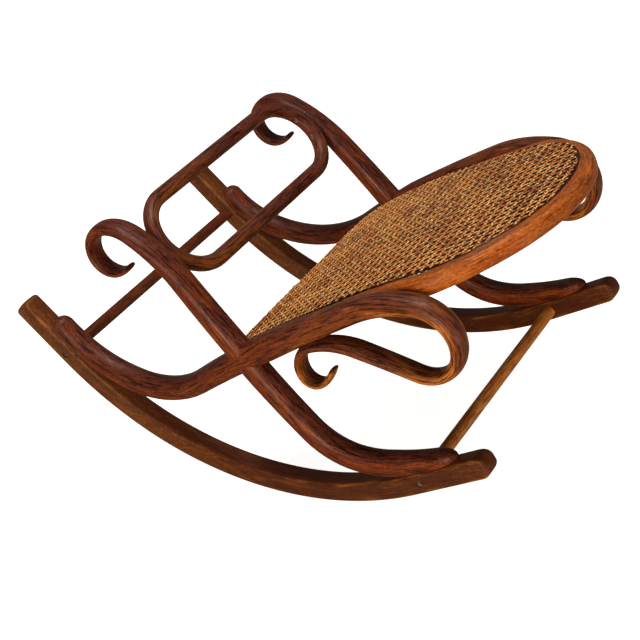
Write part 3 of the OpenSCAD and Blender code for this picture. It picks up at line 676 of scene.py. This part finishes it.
def caned(name, lines, width, heights, pinch):
    """A set of parallel strands. Each is a strip of grid laid along its line in the seat's plan,
    then crowned, waved over and under what it crosses, and turned down at its ends. Where a pair
    shares its holes, its two strands are pinched together by this much at their ends."""
    bm = bmesh.new()
    lie = bm.verts.layers.float_vector.new("strand")
    reach = np.arange(-600, 600, 0.5)
    for number, (start, way, step) in enumerate(lines):
        v = start[1] + reach * way[1]
        u = start[0] + reach * way[0] - LEAN * v
        within = reach[(u > cane_u[0]) & (u < cane_u[-1]) & (np.abs(v) < np.interp(u, cane_u, cane_v))]
        if len(within) < 12:
            continue
        first, last = within[0], within[-1]
        count = max(round((last - first) / step), 3)
        strip = bmesh.ops.create_grid(bm, x_segments=count, y_segments=2, size=0.5)["verts"]
        for vert in strip:
            along = first + (vert.co.x + 0.5) * (last - first)
            across = 2 * vert.co.y
            end = min(along - first, last - along)
            aside = across * width / 2 - (1 if number % 2 else -1) * pinch * max(0, 1 - end / PINCH_LENGTH)
            u = start[0] + along * way[0] - aside * way[1]
            v = start[1] + along * way[1] + aside * way[0]
            level = heights(number, u, v)
            dive = DIVE * max(0, 1 - end / DIVE_LENGTH) ** 2
            point = on_bow(max(u - LEAN * v, 0), v, CANE_SINK - level - CROWN * (1 - abs(across)) + dive)[0]
            vert[lie] = (along, number, level - 0.5 * abs(across) - dive)
            vert.co = point
    bmesh.ops.recalc_face_normals(bm, faces=bm.faces)
    for face in bm.faces:
        face.smooth = True
    if sum(f.normal.z for f in bm.faces) < 0:
        bmesh.ops.reverse_faces(bm, faces=bm.faces)
    mesh = bpy.data.meshes.new(name)
    bm.to_mesh(mesh)
    bm.free()
    piece = bpy.data.objects.new(name, mesh)
    bpy.context.collection.objects.link(piece)
    body = piece.modifiers.new("body", "SOLIDIFY")
    body.thickness = 0.5 * mm
    body.offset = -1
    mesh.materials.append(rattan)
    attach(piece, "root")


def weave(at, kind):
    """Height of a strand of a pair where it crosses the other way's pairs at this coordinate."""
    cell = at / PITCH + 0.5
    part = (cell - math.floor(cell) - 0.5) * PITCH
    if abs(part) <= PAIR:
        return kind * PAIR_WAVE * part / PAIR
    return kind * PAIR_WAVE * math.copysign(1, part) * (PITCH / 2 - abs(part)) / (PITCH / 2 - PAIR)


# Honey brown, with golden strands and streaks among it, red brown stains, painted highlights on the
# strands' crowns, and painted near-black shade in the low places and on the edges
rattan = split_rattan("split_rattan", "#c8702a", [
    ("own", 0.1, 1.0, 0.6, "#ea9c42"),
    ("stains", 0.42, 0.62, 0.85, "#8c3a10"),
    ("streaks", 0.47, 0.59, 0.85, "#ffcf80"),
    # Painted highlight on the crowns, then painted shade low in the weave and at the strands' edges
    ("height", 0.3, 0.8, 0.7, "#ffe0a6"),
    ("height", 0.32, -0.20, 0.99, "#1e0501"),
])
pairs = [(k, kind) for k in range(-15, 16) for kind in (-1, 1)]
rows = [(k, kind) for k in range(-2, 39) for kind in (-1, 1)]
lengthways = [((0, k * PITCH + kind * PAIR), (1, 0), 3.0) for k, kind in pairs]
crossways = [((k * PITCH + kind * PAIR, 0), (0, 1), 3.0) for k, kind in rows]
rising = [((0, (k + 0.5) * PITCH), (math.sqrt(0.5), math.sqrt(0.5)), 4.24) for k in range(-54, 18)]
falling = [((0, (k + 0.5) * PITCH), (math.sqrt(0.5), -math.sqrt(0.5)), 4.24) for k in range(-17, 54)]
caned("cane_lengthways", lengthways, 1.9, lambda n, u, v: weave(u, 1 if n % 2 else -1) - 0.1, PAIR)
caned("cane_crossways", crossways, 2.0, lambda n, u, v: weave(v, -1 if n % 2 else 1) + 0.3, -PAIR)
caned("cane_rising", rising, 1.6, lambda n, u, v: SLANT_WAVE * math.cos(2 * math.pi * v / PITCH), 0)
caned("cane_falling", falling, 1.6, lambda n, u, v: -SLANT_WAVE * math.cos(2 * math.pi * v / PITCH), 0)

# Space behind the cane: in the photograph the gaps of the weave show only darkness, taken here for
# a second caning under the rail. That caning isn't drawn. This thin plain sheet is painted shade,
# near-black with a faint brown mottle; it stands for the dark space between, and it is what the seat
# shows from below.
painted_gap_shade = split_rattan("rattan_in_shadow", "#140401", [("stains", 0.4, 0.7, 0.8, "#240903")])
bm = bmesh.new()
sheet_lie = bm.verts.layers.float_vector.new("strand")
for vert in bmesh.ops.create_grid(bm, x_segments=60, y_segments=24, size=0.5)["verts"]:
    u = cane_u[0] + (cane_u[-1] - cane_u[0]) * (1 - math.cos(math.pi * (vert.co.x + 0.5))) / 2
    v = 2 * vert.co.y * np.interp(u, cane_u, cane_v)
    vert[sheet_lie] = (u, v, 0)
    vert.co = on_bow(u, v, CANE_DEPTH)[0]
bmesh.ops.recalc_face_normals(bm, faces=bm.faces)
if sum(f.normal.z for f in bm.faces) < 0:
    bmesh.ops.reverse_faces(bm, faces=bm.faces)
mesh = bpy.data.meshes.new("cane_painted_gap_shade")
bm.to_mesh(mesh)
bm.free()
gap_shade_sheet = bpy.data.objects.new("cane_painted_gap_shade", mesh)
bpy.context.collection.objects.link(gap_shade_sheet)
body = gap_shade_sheet.modifiers.new("body", "SOLIDIFY")
body.thickness = 0.3 * mm
body.offset = -1
mesh.materials.append(painted_gap_shade)
mesh.shade_smooth()
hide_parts("cane_panel")
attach(gap_shade_sheet, "root")

# Screws: countersunk slotted wood screws of bare steel, in the CAD model's own shape. They were
# driven by hand into recesses. Age has tarnished them grey brown, in spots of about 1.5 mm.
aged_steel = bpy.data.materials.new("aged_steel_screw")
aged_steel.use_nodes = True
aged_steel.node_tree.nodes.clear()
place = node(aged_steel, "ShaderNodeTexCoord").outputs["Object"]
spots = {"Vector": place, "Scale": 1 / (1.5 * mm), "Detail": 4}
rust = node(aged_steel, "ShaderNodeTexNoise", spots).outputs["Fac"]
tarnish = {"Factor": rust, 6: linear("#cfcbc4"), 7: linear("#5d544a")}
colour = node(aged_steel, "ShaderNodeMix", tarnish, data_type="RGBA").outputs[2]
steel = node(aged_steel, "ShaderNodeBsdfPrincipled", {"Base Color": colour, "Metallic": 1, "Roughness": 0.42})
node(aged_steel, "ShaderNodeOutputMaterial", {"Surface": steel.outputs[0]})
for name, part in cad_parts.items():
    if "screw" in name:
        part.data.materials.clear()
        part.data.materials.append(aged_steel)

# The studio: a pale plain floor, a broad warm light from the near side, a weaker one from the knee
# end and a small one from above. The floor's glow is for the camera alone: it brings the floor up
# to white and leaves the stool's shadow.
studio_grey = bpy.data.materials.new("studio_floor")
studio_grey.use_nodes = True
studio_grey.node_tree.nodes.clear()
seen = node(studio_grey, "ShaderNodeLightPath").outputs["Is Camera Ray"]
matt = node(studio_grey, "ShaderNodeBsdfDiffuse", {"Color": linear("#b4b0aa")})
glow = node(studio_grey, "ShaderNodeEmission", {"Color": linear("#f4f4f4"), "Strength": seen})
floor_look = node(studio_grey, "ShaderNodeAddShader", {0: matt.outputs[0], 1: glow.outputs[0]})
node(studio_grey, "ShaderNodeOutputMaterial", {"Surface": floor_look.outputs[0]})
bm = bmesh.new()
bmesh.ops.create_grid(bm, x_segments=1, y_segments=1, size=8)
mesh = bpy.data.meshes.new("floor")
bm.to_mesh(mesh)
bm.free()
floor = bpy.data.objects.new("floor", mesh)
bpy.context.collection.objects.link(floor)
mesh.materials.append(studio_grey)

# The air is white to the camera and dim to the stool
world = bpy.data.worlds.new("studio")
world.use_nodes = True
world.node_tree.nodes.clear()
seen = node(world, "ShaderNodeLightPath").outputs["Is Camera Ray"]
level = node(world, "ShaderNodeMapRange", {"Value": seen, "To Min": 0.14, "To Max": 1}).outputs[0]
air = node(world, "ShaderNodeBackground", {"Color": (1, 1, 1, 1), "Strength": level})
node(world, "ShaderNodeOutputWorld", {"Surface": air.outputs[0]})
bpy.context.scene.world = world


def lamp(name, place, aim, size, power, colour):
    """A square soft light that faces a point."""
    light = bpy.data.lights.new(name, "AREA")
    light.size = size
    light.energy = power
    light.color = linear(colour)[:3]
    stand = bpy.data.objects.new(name, light)
    stand.location = place
    stand.rotation_euler = (Vector(aim) - Vector(place)).to_track_quat("-Z", "Y").to_euler()
    bpy.context.collection.objects.link(stand)


lamp("key", (0.5, -2.5, 0.8), (0, 0, 0.2), 0.9, 74, "#ffeacf")
lamp("side", (2.2, -0.3, 0.5), (0, 0, 0.2), 0.9, 22, "#ffe8c8")
lamp("top", (-0.5, 0.1, 2.4), (0, 0, 0.2), 0.6, 52, "#fff0e2")

# The camera stands above the near side and looks down by 37 degrees, as in the photograph. Its place
# was found from the stretchers and from the two like side frames.
camera = bpy.data.cameras.new("photo_view")
camera.sensor_width = 36
camera.lens = 84.375
view = bpy.data.objects.new("photo_view", camera)
view.matrix_world = Matrix((
    (0.86923, -0.29507, 0.39670, 0.74165),
    (0.49440, 0.51877, -0.69746, -1.3072),
    (0, 0.80238, 0.59681, 1.2298),
    (0, 0, 0, 1),
))
bpy.context.collection.objects.link(view)
bpy.context.scene.camera = view
bpy.context.scene.view_settings.view_transform = "Standard"
